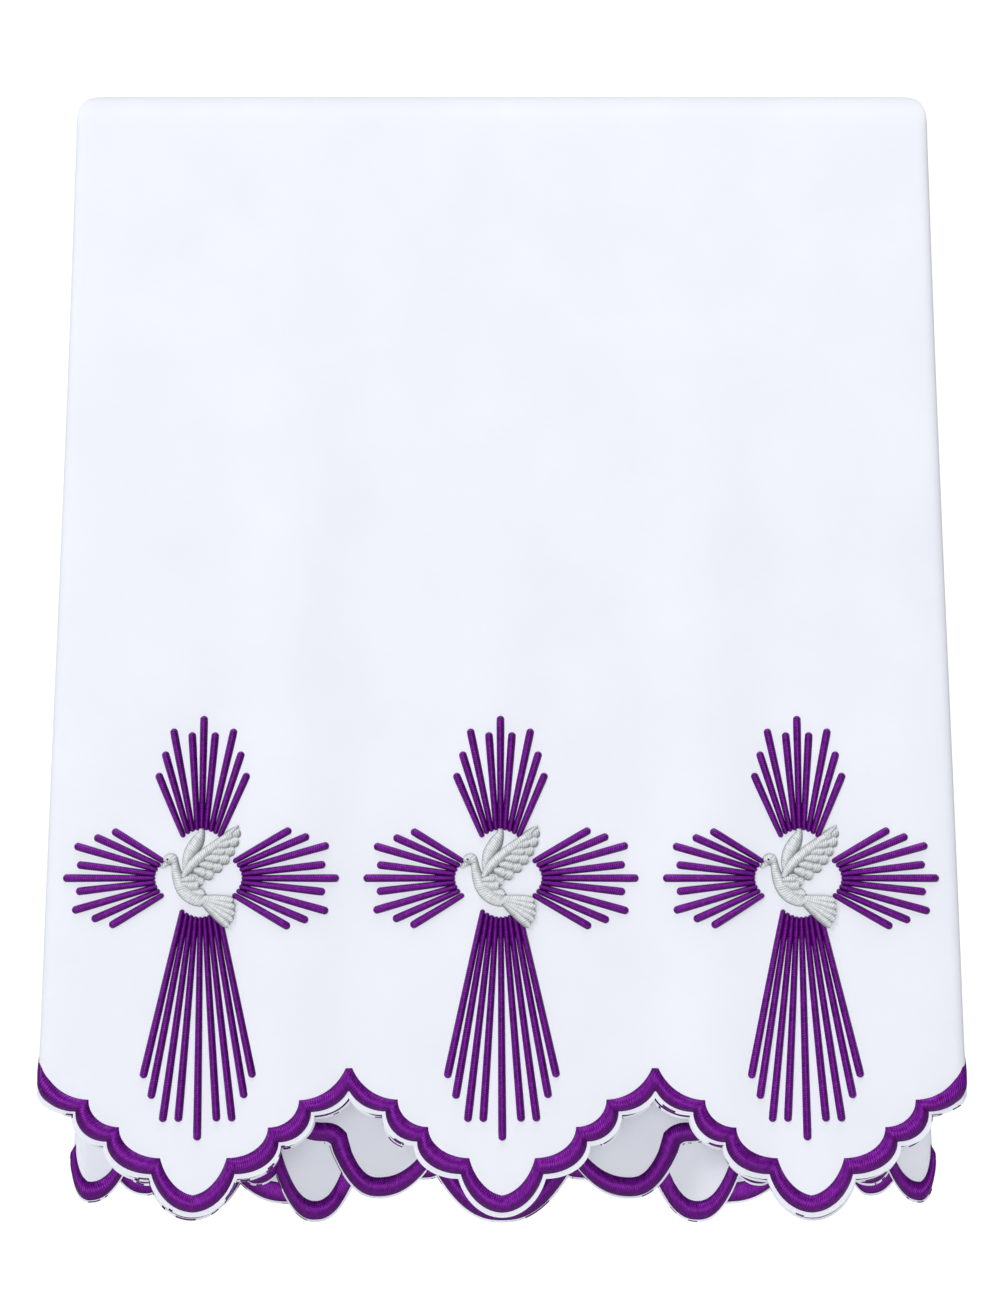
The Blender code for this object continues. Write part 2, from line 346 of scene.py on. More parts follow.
def lean(x, drop, side):
    """Shift of the rear half to the viewer's right, greatest low down between middle and sides."""
    if side == "front":
        return 0.0
    place = (x / TOP_HALF) ** 2
    return REAR_LEAN * smooth(drop / REAR_LEAN_DROP) * 4 * place * (1 - place)


def hang(across, run):
    """Place of a point of the flat cloth once it hangs."""
    side = "front" if run < 0 else "rear"
    sign = -1.0 if run < 0 else 1.0
    past_bend = abs(run) - BEND_RUN
    if past_bend <= 0:
        angle = run / FACE_RADIUS
        drop = -FACE_RADIUS * math.cos(angle)
        x, depth = section(abs(across), drop, side)
        radius = FACE_RADIUS - depth
        y = radius * math.sin(angle)
        z = radius * math.cos(angle) - BAR_RADIUS
    else:
        drop = past_bend
        x, depth = section(abs(across), drop, side)
        y = sign * (FACE_RADIUS - depth + soft_fold(x, drop, side))
        z = -BAR_RADIUS - drop
    x = math.copysign(x, across)
    return Vector((x + lean(x, drop, side), y, z))


def on_cloth(across, run, height):
    """Point that stands off the middle of the cloth by height, on its outer side."""
    over = hang(across + NORMAL_REACH, run) - hang(across - NORMAL_REACH, run)
    along = hang(across, run + NORMAL_REACH) - hang(across, run - NORMAL_REACH)
    return hang(across, run) + over.cross(along).normalized() * height


def run_of(z, side):
    run = BEND_RUN - BAR_RADIUS - z
    return -run if side == "front" else run


# The flat outline: each station is (cut across, cut z, inner across, inner z, distance to a corner)


def scallop(start, low, end, power):
    """Points of one scallop from start, which is left out, to end, by way of its lowest point."""
    points = []
    for step in range(1, 2 * SCALLOP_SEGMENTS + 1):
        share = step / SCALLOP_SEGMENTS - 1
        corner = start if share < 0 else end
        across = blend(low[0], corner[0], abs(share))
        points.append((across, blend(low[1], corner[1], abs(share) ** power)))
    return points


def rising_scallop(start, end, sweep, point=0.0):
    """Points of a scallop that leaves start level and climbs to end, as part of an ellipse.

    The greater point is, the straighter it climbs.
    """
    points = []
    for step in range(1, SCALLOP_SEGMENTS + 1):
        angle = math.radians(sweep) * step / SCALLOP_SEGMENTS
        out = math.sin(angle) / math.sin(math.radians(sweep))
        up = (1 - math.cos(angle)) / (1 - math.cos(math.radians(sweep)))
        up = blend(up, out, point)
        points.append((blend(start[0], end[0], out), blend(start[1], end[1], up)))
    return points


def half_repeat(shift_corners):
    """Half a repeat of the front hem, from its lowest point out to its peak: (out, up).

    With shift_corners it is the border's inner edge, otherwise the cut edge.
    """
    points = [(0.0, BAND_INNER_RISE if shift_corners else 0.0)]
    point = INNER_LOW_POINT if shift_corners else 0.0
    for (out, up, sweep), (inward, rise) in zip(FRONT_SCALLOPS, BAND_CORNERS):
        if shift_corners:
            out, up = out + inward, up + rise
        points += rising_scallop(points[-1], (out, up), sweep, point)
        point = 0.0
    return points


def front_stations():
    """Stations of the front hem from the middle line to where the flap turns back."""
    half = list(zip(half_repeat(False), half_repeat(True)))
    face = [(*cut, *inner) for cut, inner in half]
    face += [(REPEAT - c[0], c[1], REPEAT - i[0], i[1]) for c, i in reversed(half)]
    face += [(REPEAT + c[0], c[1], REPEAT + i[0], i[1]) for c, i in half[1:]]
    peak_up, inner_peak_up = face[-1][1] + FOLD_LIFT, face[-1][3] + INNER_FOLD_LIFT
    fold = (FACE_HALF, peak_up, FACE_HALF, inner_peak_up)
    turned = 2 * FACE_HALF + FLAP_SHIFT
    flap = [(turned - a, b, turned - c, d) for a, b, c, d in reversed(face)]
    level = []
    for cut_across, cut_up, inner_across, inner_up in [*face, fold, *flap]:
        if cut_across > FLAP_END - INNER_FOLD_RUN:
            break
        slip = FLAP_SLIP * smooth((cut_across - FACE_HALF) / SIDE_FOLD_RUN)
        lowest = FRONT_LOWEST - slip
        level.append((cut_across, lowest + cut_up, inner_across, lowest + inner_up))
    return level


def rear_across(x, layer):
    """Distance over the flat cloth of a rear point at x on the given layer."""
    width = HEM_HALF["rear"] + HEM_FLARE
    if layer == "face":
        return x * FACE_HALF / width
    if layer == "flap":
        return min(FACE_HALF + width - x, FLAP_END - INNER_FOLD_RUN)
    return min(FLAP_END + x - (width - FLAP_WIDTH), CLOTH_END)


def rear_scallops():
    """Rear scallops from the middle line to the cloth's end: (start, lowest point, end)."""
    first = REAR_FACE[0]
    corner = (-rear_across(first[2], "face"), first[3])
    scallops = []
    for layer, rows in (("face", REAR_FACE), ("flap", REAR_FLAP), ("tuck", REAR_TUCK)):
        for low_x, low_z, far_x, far_z in rows:
            low = (rear_across(low_x, layer), low_z)
            end = (rear_across(far_x, layer), far_z)
            scallops.append((corner, low, end))
            corner = end
    return scallops


def slope_into(corner, low):
    """Slope of a rear scallop's edge where it meets a corner."""
    run_out = max(abs(corner[0] - low[0]), SMALLEST_SLOPE_RUN)
    return REAR_SCALLOP_POWER * (corner[1] - low[1]) / run_out


def inner_corner(corner, low_before, low_after):
    """The border's inner corner over a cut corner between two scallops."""
    before = Vector((-slope_into(corner, low_before), 1.0)).normalized()
    after = Vector((slope_into(corner, low_after), 1.0)).normalized()
    middle = (before + after).normalized()
    length = min(BAND_INNER_RISE / max(middle.dot(before), MITRE_SHARPEST), MITRE_LONGEST)
    return corner[0] + middle.x * length, corner[1] + middle.y * length


def rear_stations():
    """Stations of the rear hem from the middle line to the cloth's end."""
    scallops = rear_scallops()
    stations = []
    for index, (start, low, end) in enumerate(scallops):
        low_before = scallops[index - 1][1] if index else (-scallops[1][1][0], scallops[1][1][1])
        low_after = scallops[index + 1][1] if index + 1 < len(scallops) else low
        inner_start = inner_corner(start, low_before, low)
        inner_end = inner_corner(end, low, low_after)
        inner_low = (low[0], low[1] + BAND_INNER_RISE)
        cut = scallop(start, low, end, REAR_SCALLOP_POWER)
        inner = scallop(inner_start, inner_low, inner_end, REAR_SCALLOP_POWER)
        stations += [(*c, *i) for c, i in zip(cut, inner)]
    first = scallops[0][1]
    middle = (0.0, first[1], 0.0, first[1] + BAND_INNER_RISE)
    return [middle] + [station for station in stations if station[0] > SAME_PLACE]


def front_hem():
    """(across, z) of the front cut edge from the middle line to the cloth's end."""
    edge = []
    for across, z, _, _ in front_stations():
        if not edge or across > edge[-1][0] + SAME_PLACE:
            edge.append((across, z))
    edge.append((FLAP_END + INNER_FOLD_RUN, TUCK_FRONT_HEM))
    edge.append((CLOTH_END, TUCK_FRONT_HEM))
    return edge


def rear_hem():
    return [(across, z) for across, z, _, _ in rear_stations()]


def level_at(hem, across):
    """Height of the hem at a place between its points."""
    index = min(max(bisect_right([point[0] for point in hem], across), 1), len(hem) - 1)
    (near, low), (far, high) = hem[index - 1], hem[index]
    share = min(max((across - near) / max(far - near, SMALLEST_STEP), 0.0), 1.0)
    return blend(low, high, share)


# The sheet


def spread(start, end, step):
    """Places from start up to end, evenly set about step apart, end left out."""
    count = max(round((end - start) / step), 1)
    return [blend(start, end, index / count) for index in range(count)]


def half_columns():
    """Places across half the cloth where the sheet is divided, the folds among them."""
    flat = FACE_HALF - SIDE_FOLD_RUN
    columns = spread(0.0, flat, flat / FACE_COLUMNS)
    columns += fold_columns(FACE_HALF, SIDE_FOLD_RUN)
    columns += spread(FACE_HALF + SIDE_FOLD_RUN, FLAP_END - INNER_FOLD_RUN, FLAP_STEP)[1:]
    columns += fold_columns(FLAP_END, INNER_FOLD_RUN)
    columns += spread(FLAP_END + INNER_FOLD_RUN, CLOTH_END, FLAP_STEP)[1:]
    return columns + [CLOTH_END]


def fold_columns(middle, reach):
    return [middle + reach * (2 * step / FOLD_SEGMENTS - 1) for step in range(FOLD_SEGMENTS + 1)]


def mirrored(values):
    return [-value for value in reversed(values[1:])] + values


def bend_and_drop_rows():
    """Runs of the rows, from the lowest in front, over the bar, to the lowest behind."""
    half = spread(0.0, BEND_RUN, BEND_RUN * 2 / BEND_SEGMENTS)
    half += [BEND_RUN + drop for drop in spread(0.0, LAST_DROP, DROP_STEP)]
    return mirrored(half + [BEND_RUN + LAST_DROP])


def hem_strip(sheet, row, columns, hem, side):
    """Faces between the last row and the hem, one to each column gap, with the hem's points."""
    ends = [sheet.verts.new((x, run_of(level_at(hem, abs(x)), side), 0)) for x in columns]
    for index in range(len(columns) - 1):
        left, right = columns[index], columns[index + 1]
        inside = [(math.copysign(a, left + right), z) for a, z in hem]
        inside = sorted(p for p in inside if left + BETWEEN_COLUMNS < p[0] < right - BETWEEN_COLUMNS)
        between = [sheet.verts.new((x, run_of(z, side), 0)) for x, z in inside]
        loop = [row[index], ends[index], *between, ends[index + 1], row[index + 1]]
        sheet.faces.new(loop if side == "rear" else loop[::-1])


def flat_sheet():
    """The cloth as it is cut, lying flat: x is across, y is run, and so is its UV map."""
    sheet = bmesh.new()
    columns = mirrored(half_columns())
    rows = bend_and_drop_rows()
    grid = [[sheet.verts.new((across, run, 0)) for across in columns] for run in rows]
    for lower, upper in zip(grid, grid[1:]):
        for index in range(len(columns) - 1):
            sheet.faces.new((lower[index], lower[index + 1], upper[index + 1], upper[index]))
    hem_strip(sheet, grid[0], columns, front_hem(), "front")
    hem_strip(sheet, grid[-1], columns, rear_hem(), "rear")
    bmesh.ops.recalc_face_normals(sheet, faces=sheet.faces[:])
    long_faces = [face for face in sheet.faces if len(face.verts) > 4]
    bmesh.ops.triangulate(sheet, faces=long_faces, ngon_method="EAR_CLIP")
    layer = sheet.loops.layers.uv.new("flat")
    for face in sheet.faces:
        for loop in face.loops:
            loop[layer].uv = loop.vert.co.xy
    return sheet


def new_object(name, mesh, material):
    mesh.shade_smooth()
    mesh.materials.append(material)
    obj = bpy.data.objects.new(name, mesh)
    bpy.context.scene.collection.objects.link(obj)
    return obj


def apply_modifiers(obj):
    """Puts what the modifiers make into the mesh itself."""
    shown = obj.evaluated_get(bpy.context.evaluated_depsgraph_get())
    obj.data = bpy.data.meshes.new_from_object(shown)
    obj.modifiers.clear()


def make_cloth(material):
    """The cloth and its flat area."""
    sheet = flat_sheet()
    area = sum(face.calc_area() for face in sheet.faces)
    for vertex in sheet.verts:
        vertex.co = hang(vertex.co.x, vertex.co.y)
    mesh = bpy.data.meshes.new("cloth")
    sheet.to_mesh(mesh)
    sheet.free()
    cloth = new_object("cloth", mesh, material)
    solid = cloth.modifiers.new("thickness", "SOLIDIFY")
    solid.thickness = SHEET_THICKNESS
    solid.offset = 0.0
    solid.use_even_offset = False
    apply_modifiers(cloth)
    cloth.data.set_sharp_from_angle(angle=math.radians(RIM_ANGLE))
    return cloth, area


# Stitching


def crown_profile(share):
    """Height of stitching across its width, from 0 at both edges to 1 in the middle."""
    square, blunt = CROWN_SHAPE
    return (1 - abs(2 * share - 1) ** square) ** blunt


class Stitching:
    """Gathers crowned strips of satin stitch into one mesh, with a UV map in metres."""

    def __init__(self):
        self.mesh = bmesh.new()
        self.uv = self.mesh.loops.layers.uv.new("thread")
        # Share across the strip, from its left edge to its right one, which places the painted shade
        self.across = self.mesh.loops.layers.uv.new("across")

    def strip(self, stations, height, base=0.0, underside=0.0):
        """Adds one strip. Each station is (left, right, crown share, underside's share).

        The points are in (across, run).
        """
        rings = []
        length = 0.0
        last = None
        for left, right, crown, under in stations:
            middle = (Vector(left) + Vector(right)) / 2
            if last is not None:
                length += (middle - last).length
            last = middle
            heights = (height * crown, underside * under)
            rings.append(self.ring(Vector(left), Vector(right), base, heights, length))
        for first, second in zip(rings, rings[1:]):
            for index in range(len(first)):
                after = (index + 1) % len(first)
                self.face((first[index], first[after], second[after], second[index]))
        self.face([point for point in reversed(rings[0])])
        self.face(rings[-1])

    def ring(self, left, right, base, heights, length):
        """Points round one station: over the crown from left to right, and back below it."""
        crown, underside = heights
        width = (right - left).length
        shares = [0.5 - 0.5 * math.cos(math.pi * i / (CROWN_POINTS - 1)) for i in range(CROWN_POINTS)]
        upper = [(share, base + SHEET_THICKNESS / 2 + crown * crown_profile(share)) for share in shares]
        lower = [(share, 0.0) for share in reversed(shares)]
        if underside:
            lower = [(s, -SHEET_THICKNESS / 2 - underside * crown_profile(s)) for s, _ in lower]
        points = []
        for share, level in upper + lower:
            vertex = self.mesh.verts.new(on_cloth(*left.lerp(right, share), level))
            points.append((vertex, (length, share * width), (share, 0.0)))
        return points

    def face(self, points):
        face = self.mesh.faces.new([point[0] for point in points])
        for loop, (_, place, share) in zip(face.loops, points):
            loop[self.uv].uv = place
            loop[self.across].uv = share

    def finish(self, name, material):
        bmesh.ops.recalc_face_normals(self.mesh, faces=self.mesh.faces[:])
        mesh = bpy.data.meshes.new(name)
        self.mesh.to_mesh(mesh)
        self.mesh.free()
        return new_object(name, mesh, material)


def border(stitching, half, side):
    """Stitches one hem's border, from (cut across, cut z, inner across, inner z) of its right half."""
    stations = [(-a, b, -c, d) for a, b, c, d in reversed(half[1:])] + half
    cuts = [Vector((cut_x, cut_z)) for cut_x, cut_z, _, _ in stations]
    corners = [cuts[index] for index in sharp_corners(cuts)]
    strip = []
    for cut_x, cut_z, inner_x, inner_z in stations:
        cut = Vector((cut_x, run_of(cut_z, side)))
        inner = Vector((inner_x, run_of(inner_z, side)))
        near = min((Vector((cut_x, cut_z)) - corner).length for corner in corners)
        crown = 1 - MITRE_DIP * math.exp(-((near / MITRE_REACH) ** 2))
        upper, under = open_sides(abs(cut_x), side)
        seen_face = side == "front" and abs(cut_x) < FACE_HALF
        outer = cut.lerp(inner, BAND_OUTER_SHARE if seen_face else THIN_RIM_SHARE)
        # The inner edge goes first, so it takes the light end of the painted shade and the outer edge
        # the dark end
        strip.append((inner, outer, crown * upper, crown * under))
    stitching.strip(strip, BAND_CROWN, underside=BAND_CROWN)


def stray_stitches(stitching, half, side):
    """Short dark stitches left along the cut edge, more of them on the layers behind."""
    chance = random.Random(STRAY_SEEDS[side])
    stations = [(-a, b, -c, d) for a, b, c, d in reversed(half[1:])] + half
    index = 0
    while index < len(stations) - STRAY_LONGEST:
        length = chance.randint(2, STRAY_LONGEST)
        seen_face = side == "front" and abs(stations[index][0]) < FACE_HALF
        if chance.random() < STRAY_CHANCE["face" if seen_face else "behind"]:
            width = chance.uniform(*STRAY_WIDTHS)
            strip = []
            for cut_x, cut_z, inner_x, inner_z in stations[index : index + length]:
                cut = Vector((cut_x, run_of(cut_z, side)))
                inner = Vector((inner_x, run_of(inner_z, side)))
                strip.append((cut, cut.lerp(inner, width), 1.0, 1.0))
            stitching.strip(strip, STRAY_CROWN, underside=STRAY_CROWN)
        index += length + chance.randint(*STRAY_GAPS)


def open_sides(across, side):
    """Share of the border's crown on the cloth's right side and on its wrong side.

    It's low where another layer lies close over it.
    """
    if side == "front" or SINGLE_LAYER_HALF < across < TUCK_COVERS:
        return 1.0, HIDDEN_CROWN
    if across <= SINGLE_LAYER_HALF:
        return 1.0, 1.0
    return HIDDEN_CROWN, HIDDEN_CROWN if across < FLAP_END else 1.0


def sharp_corners(points):
    """Indexes of the points where a line turns by more than the corner angle."""
    corner_turn = math.radians(CORNER_ANGLE)
    sharp = []
    for index in range(1, len(points) - 1):
        before = points[index] - points[index - 1]
        after = points[index + 1] - points[index]
        if min(before.length, after.length) > SMALLEST_STEP and before.angle(after) > corner_turn:
            sharp.append(index)
    return sharp


def ray(stitching, start, end):
    """One crowned bar of satin stitch with round ends, wider at its end, in (across, run).

    Its left edge is the one to the upper left, so that the painted shade across every ray is light on
    its upper left and dark on its lower right.
    """
    start, end = Vector(start), Vector(end)
    along = (end - start).normalized()
    side = Vector((-along.y, along.x))
    if side.y < side.x:
        side = -side
    length = (end - start).length
    narrow, wide = RAY_HALF_WIDTHS
    turns = [math.pi / 2 * step / RAY_END_STEPS for step in range(RAY_END_STEPS)]
    places = [narrow * (1 - math.cos(turn)) for turn in turns]
    places += spread(narrow, length - wide, RAY_STEP)
    places += [length - wide * (1 - math.cos(turn)) for turn in reversed(turns)]
    strip = []
    for place in places:
        round_off = 1.0
        if place < narrow:
            round_off = math.sqrt(1 - (1 - place / narrow) ** 2)
        elif length - place < wide:
            round_off = math.sqrt(1 - (1 - (length - place) / wide) ** 2)
        round_off = max(round_off, RAY_END_CROWN)
        half = blend(narrow, wide, (place / length) ** RAY_WIDENING) * round_off
        middle = start + along * place
        strip.append((middle + side * half, middle - side * half, round_off, 0.0))
    stitching.strip(strip, RAY_CROWN)


def cross_rays(stitching, centre):
    """Four arms of nine rays round a centre given as (across, z)."""
    for arm, direction in (("up", 90), ("right", 0), ("left", 180), ("down", DOWN_ARM_TURN)):
        turn = math.radians(direction)
        forward = Vector((math.cos(turn), math.sin(turn)))
        sideways = Vector((-forward.y, forward.x))
        origin = Vector(centre)
        if arm in ("left", "right"):
            origin += RING_OFFSET
        tips = RAY_ARMS[arm]
        root_spread, root_dip = RAY_ROOTS[arm]
        for number in range(1 - len(tips), len(tips)):
            out, spread_out = tips[abs(number)]
            share = number / (len(tips) - 1)
            root_side = root_spread * share
            root_out = math.sqrt(RAY_ROOT_RADIUS**2 - root_side**2) - root_dip * share**2
            tip = origin + forward * out + sideways * math.copysign(spread_out, share)
            root = origin + forward * root_out + sideways * root_side
            ray(stitching, (root.x, run_of(root.y, "front")), (tip.x, run_of(tip.y, "front")))


def smooth_rows(rows, steps):
    """Rows of numbers with steps more between each two, on a curve through them all."""
    padded = [rows[0], *rows, rows[-1]]
    curve = []
    for index in range(len(rows) - 1):
        before, first, second, after = padded[index : index + 4]
        for step in range(steps):
            t = step / steps
            weights = (
                (-t + 2 * t**2 - t**3) / 2,
                (2 - 5 * t**2 + 3 * t**3) / 2,
                (t + 4 * t**2 - 3 * t**3) / 2,
                (t**3 - t**2) / 2,
            )
            four = zip(before, first, second, after)
            curve.append(tuple(sum(w * v for w, v in zip(weights, values)) for values in four))
    return curve + [tuple(rows[-1])]


def padded_part(stitching, centre, part):
    """One padded part of a dove: a crowned strip along its spine."""
    base, height, spine = part
    rows = smooth_rows(spine, SPINE_STEPS)
    widest = max(half for _, _, half in rows)
    strip = []
    for index, (x, z, half) in enumerate(rows):
        x_before, z_before, _ = rows[max(index - 1, 0)]
        x_after, z_after, _ = rows[min(index + 1, len(rows) - 1)]
        along = Vector((x_after - x_before, z_after - z_before)).normalized()
        half = max(half, NARROWEST)
        # The left edge, on this side, takes the light end of the painted shade across the strip
        side = Vector((-along.y, along.x)) * half * MM
        place = Vector((centre[0] + x * MM, run_of(centre[1] + z * MM, "front")))
        strip.append((place + side, place - side, math.sqrt(half / widest), 0.0))
    stitching.strip(strip, height * MM, base * MM)


def feather(stitching, centre, part):
    base, height, root, tip, half = part
    spine = [(blend(root[0], tip[0], s), blend(root[1], tip[1], s), half * w) for s, w in FEATHER_SHAPE]
    padded_part(stitching, centre, (base, height, spine))


def dove(stitching, centre):
    """A flying dove of padded stitch, from what lies lowest to what lies on top."""
    padded_part(stitching, centre, DOVE_FAR_WING)
    for index, tip in enumerate(DOVE_TAIL_TIPS):
        base, height = DOVE_TAIL_LEVEL
        base += DOVE_TAIL_STEP * (index % 2)
        feather(stitching, centre, (base, height, DOVE_TAIL_ROOT, tip, DOVE_TAIL_HALF))
    for part in (DOVE_BODY, DOVE_BEAK, DOVE_HEAD):
        padded_part(stitching, centre, part)
    last = len(DOVE_WING_TIPS) - 1
    outer, inner = DOVE_WING_ROOTS
    for index, tip in enumerate(DOVE_WING_TIPS):
        share = index / last
        root = (blend(outer[0], inner[0], share), blend(outer[1], inner[1], share))
        covert_tip = (
            blend(root[0], tip[0], DOVE_COVERT_REACH),
            blend(root[1], tip[1], DOVE_COVERT_REACH),
        )
        for (base, height), end, half in (
            (DOVE_WING_LEVEL, tip, DOVE_WING_HALF),
            (DOVE_COVERT_LEVEL, covert_tip, DOVE_COVERT_HALF),
        ):
            base += DOVE_WING_STEP * (index % 2)
            feather(stitching, centre, (base, height, root, end, half))
    for part in DOVE_FLANK:
        feather(stitching, centre, part)
    padded_part(stitching, centre, DOVE_ARM)


def dove_eye(stitching, centre):
    padded_part(stitching, centre, DOVE_EYE)


# Materials


def new_material(name):
    material = bpy.data.materials.new(name)
    material.use_nodes = True
    nodes = material.node_tree.nodes
    return material, nodes, material.node_tree.links, nodes["Principled BSDF"]


def math_node(nodes, links, operation, *values):
    node = nodes.new("ShaderNodeMath")
    node.operation = operation
    for socket, value in zip(node.inputs, values):
        if isinstance(value, bpy.types.NodeSocket):
            links.new(value, socket)
        else:
            socket.default_value = value
    return node.outputs[0]


def ramp_node(nodes, links, value, stops):
    node = nodes.new("ShaderNodeValToRGB")
    links.new(value, node.inputs["Fac"])
    elements = node.color_ramp.elements
    for element, (place, colour) in zip(elements, (stops[0], stops[-1])):
        element.position = place
        element.color = colour
    for place, colour in stops[1:-1]:
        elements.new(place).color = colour
    return node.outputs["Color"]


def uv_parts(nodes, links, layer):
    coordinates = nodes.new("ShaderNodeUVMap")
    coordinates.uv_map = layer
    parts = nodes.new("ShaderNodeSeparateXYZ")
    links.new(coordinates.outputs["UV"], parts.inputs[0])
    return coordinates.outputs["UV"], parts.outputs["X"], parts.outputs["Y"]


def noise_node(nodes, links, vector, scale, detail):
    node = nodes.new("ShaderNodeTexNoise")
    node.inputs["Scale"].default_value = scale
    node.inputs["Detail"].default_value = detail
    links.new(vector, node.inputs["Vector"])
    return node.outputs["Fac"]


def bump_node(nodes, links, height, distance, strength, under=None):
    node = nodes.new("ShaderNodeBump")
    node.inputs["Distance"].default_value = distance
    node.inputs["Strength"].default_value = strength
    links.new(height, node.inputs["Height"])
    if under is not None:
        links.new(under, node.inputs["Normal"])
    return node.outputs["Normal"]


# Noise is (scale, detail), and bump is (distance, strength)
CLOTH_SHADES = ((0.3, (0.845, 0.872, 0.945, 1)), (0.7, (0.875, 0.900, 0.965, 1)))
WEAVE_PITCH = 0.00045
WEAVE_BUMP = (0.00006, 0.5)
SLUB_NOISE = (900, 2)
SLUB_BUMP = (0.0001, 0.35)
CLOUD_NOISE = (14, 3)


def cloth_material():
    """White plain weave: threads over and under, a few thicker, and a faint cloud of shade."""
    material, nodes, links, shader = new_material("white_cloth")
    place, across, run = uv_parts(nodes, links, "flat")
    turn = math.pi / WEAVE_PITCH
    over = math_node(nodes, links, "SINE", math_node(nodes, links, "MULTIPLY", across, turn))
    under = math_node(nodes, links, "SINE", math_node(nodes, links, "MULTIPLY", run, turn))
    weave = math_node(nodes, links, "MULTIPLY", over, under)
    slub = noise_node(nodes, links, place, *SLUB_NOISE)
    cloud = noise_node(nodes, links, place, *CLOUD_NOISE)
    fine = bump_node(nodes, links, weave, *WEAVE_BUMP)
    uneven = bump_node(nodes, links, slub, *SLUB_BUMP, fine)
    colour = ramp_node(nodes, links, cloud, CLOTH_SHADES)
    links.new(colour, shader.inputs["Base Color"])
    links.new(uneven, shader.inputs["Normal"])
    shader.inputs["Roughness"].default_value = 0.85
    shader.inputs["Specular IOR Level"].default_value = 0.25
    shader.inputs["Sheen Weight"].default_value = 0.12
    return material


# Threads lie STITCH_PITCH apart, on a slant, and wander by a share of that
STITCH_PITCH = 0.0014
STITCH_SLANT = 0.35
STITCH_WANDER = 1.2
WANDER_NOISE = (260, 2)
MOTTLE_NOISE = (340, 2)
THREAD_BUMP = (0.00016, 0.6)
THREAD_IOR = 2.0
SHADE_PLACES = (0.12, 0.5, 0.85)


def grey_stops(stops):
    return tuple((place, (level, level, level, 1)) for place, level in stops)


# Painted shade across a strip, as the share of its colour a thread keeps from its left edge to its right
# one: painted light near the left edge, darker towards the right edge, and painted shadow along both
# edges
PAINTED_PURPLE_SHADE = grey_stops(((0.0, 0.35), (0.18, 1.0), (0.45, 0.85), (0.80, 0.42), (1.0, 0.15)))
PAINTED_GREY_SHADE = grey_stops(((0.0, 0.40), (0.12, 0.92), (0.42, 1.0), (0.76, 0.66), (1.0, 0.26)))

# Each thread is (shades from dark to light, painted shade across the strip, roughness, specular level,
# its tint)
THREADS = {
    "purple_thread": (
        ((0.014, 0.0002, 0.030, 1), (0.075, 0.0012, 0.145, 1), (0.240, 0.0120, 0.380, 1)),
        PAINTED_PURPLE_SHADE, 0.36, 0.50, (0.68, 0.09, 1.00, 1),
    ),
    "grey_thread": (
        ((0.46, 0.49, 0.51, 1), (0.72, 0.75, 0.77, 1), (0.88, 0.91, 0.93, 1)),
        PAINTED_GREY_SHADE, 0.60, 0.20, (1, 1, 1, 1),
    ),
    "eye_thread": (
        ((0.02, 0.02, 0.02, 1), (0.05, 0.05, 0.05, 1), (0.09, 0.09, 0.09, 1)),
        PAINTED_PURPLE_SHADE, 0.40, 0.20, (1, 1, 1, 1),
    ),
}


def thread_material(name):
    """Satin stitch: threads side by side across the strip with painted shade between them, a random
    mottle of tone, painted shade across each strip, and a silky sheen.
    """
    shades, painted_shade, roughness, specular, tint = THREADS[name]
    material, nodes, links, shader = new_material(name)
    place, along, over = uv_parts(nodes, links, "thread")
    slant = math_node(nodes, links, "MULTIPLY", over, STITCH_SLANT)
    slanted = math_node(nodes, links, "ADD", along, slant)
    wander = noise_node(nodes, links, place, *WANDER_NOISE)
    wander = math_node(nodes, links, "MULTIPLY", wander, STITCH_PITCH * STITCH_WANDER)
    phase = math_node(nodes, links, "ADD", slanted, wander)
    phase = math_node(nodes, links, "MULTIPLY", phase, 2 * math.pi / STITCH_PITCH)
    thread = math_node(nodes, links, "SINE", phase)
    thread = math_node(nodes, links, "MULTIPLY_ADD", thread, 0.5, 0.5)
    mottle = noise_node(nodes, links, place, *MOTTLE_NOISE)
    # The thread stripes put painted shade between threads; the mottle is the thread's own random tone
    mixed = math_node(nodes, links, "MULTIPLY_ADD", thread, 0.5, -0.25)
    mixed = math_node(nodes, links, "ADD", mixed, mottle)
    colour = ramp_node(nodes, links, mixed, tuple(zip(SHADE_PLACES, shades)))
    # Painted shade across each strip: lighter near its left edge, darker towards its right edge, with
    # painted shadow along both edges
    _, share, _ = uv_parts(nodes, links, "across")
    shaded = nodes.new("ShaderNodeVectorMath")
    shaded.operation = "MULTIPLY"
    links.new(colour, shaded.inputs[0])
    links.new(ramp_node(nodes, links, share, painted_shade), shaded.inputs[1])
    links.new(shaded.outputs[0], shader.inputs["Base Color"])
    links.new(bump_node(nodes, links, thread, *THREAD_BUMP), shader.inputs["Normal"])
    shader.inputs["Roughness"].default_value = roughness
    shader.inputs["IOR"].default_value = THREAD_IOR
    shader.inputs["Specular IOR Level"].default_value = specular
    shader.inputs["Specular Tint"].default_value = tint
    return material


# Camera, light and stage, after the photograph

CAMERA_PLACE = (-0.0013, -1.1780, -0.5174)
CAMERA_TILT = 7.0
CAMERA_LENS = 64.8
CAMERA_SENSOR = 36.0
CAMERA_NEAREST = 0.05
WHITE = (1.0, 1.0, 1.0, 1.0)
WORLD_STRENGTH = 0.20
BACKGROUND_STRENGTH = 1.05
LIGHT_DISTANCE = 2.5
FLOOR_DROP = 0.60
FLOOR_RADIUS = 1.9
FLOOR_SIDES = 96
FLOOR_BACK = 0.2
FLOOR_COLOUR = (0.86, 0.86, 0.88, 1)
FLOOR_ROUGHNESS = 0.7

# Broad lights: (name, azimuth to the viewer's right, elevation, spread, strength), angles in degrees
LIGHTS = (
    ("key", -44, 30, 8, 0.72),
    ("fill", -4, -3, 36, 1.26),
    ("low", -10, -34, 30, 0.72),
    ("top", 0, 75, 30, 1.15),
    ("back", 180, 15, 40, 2.00),
)


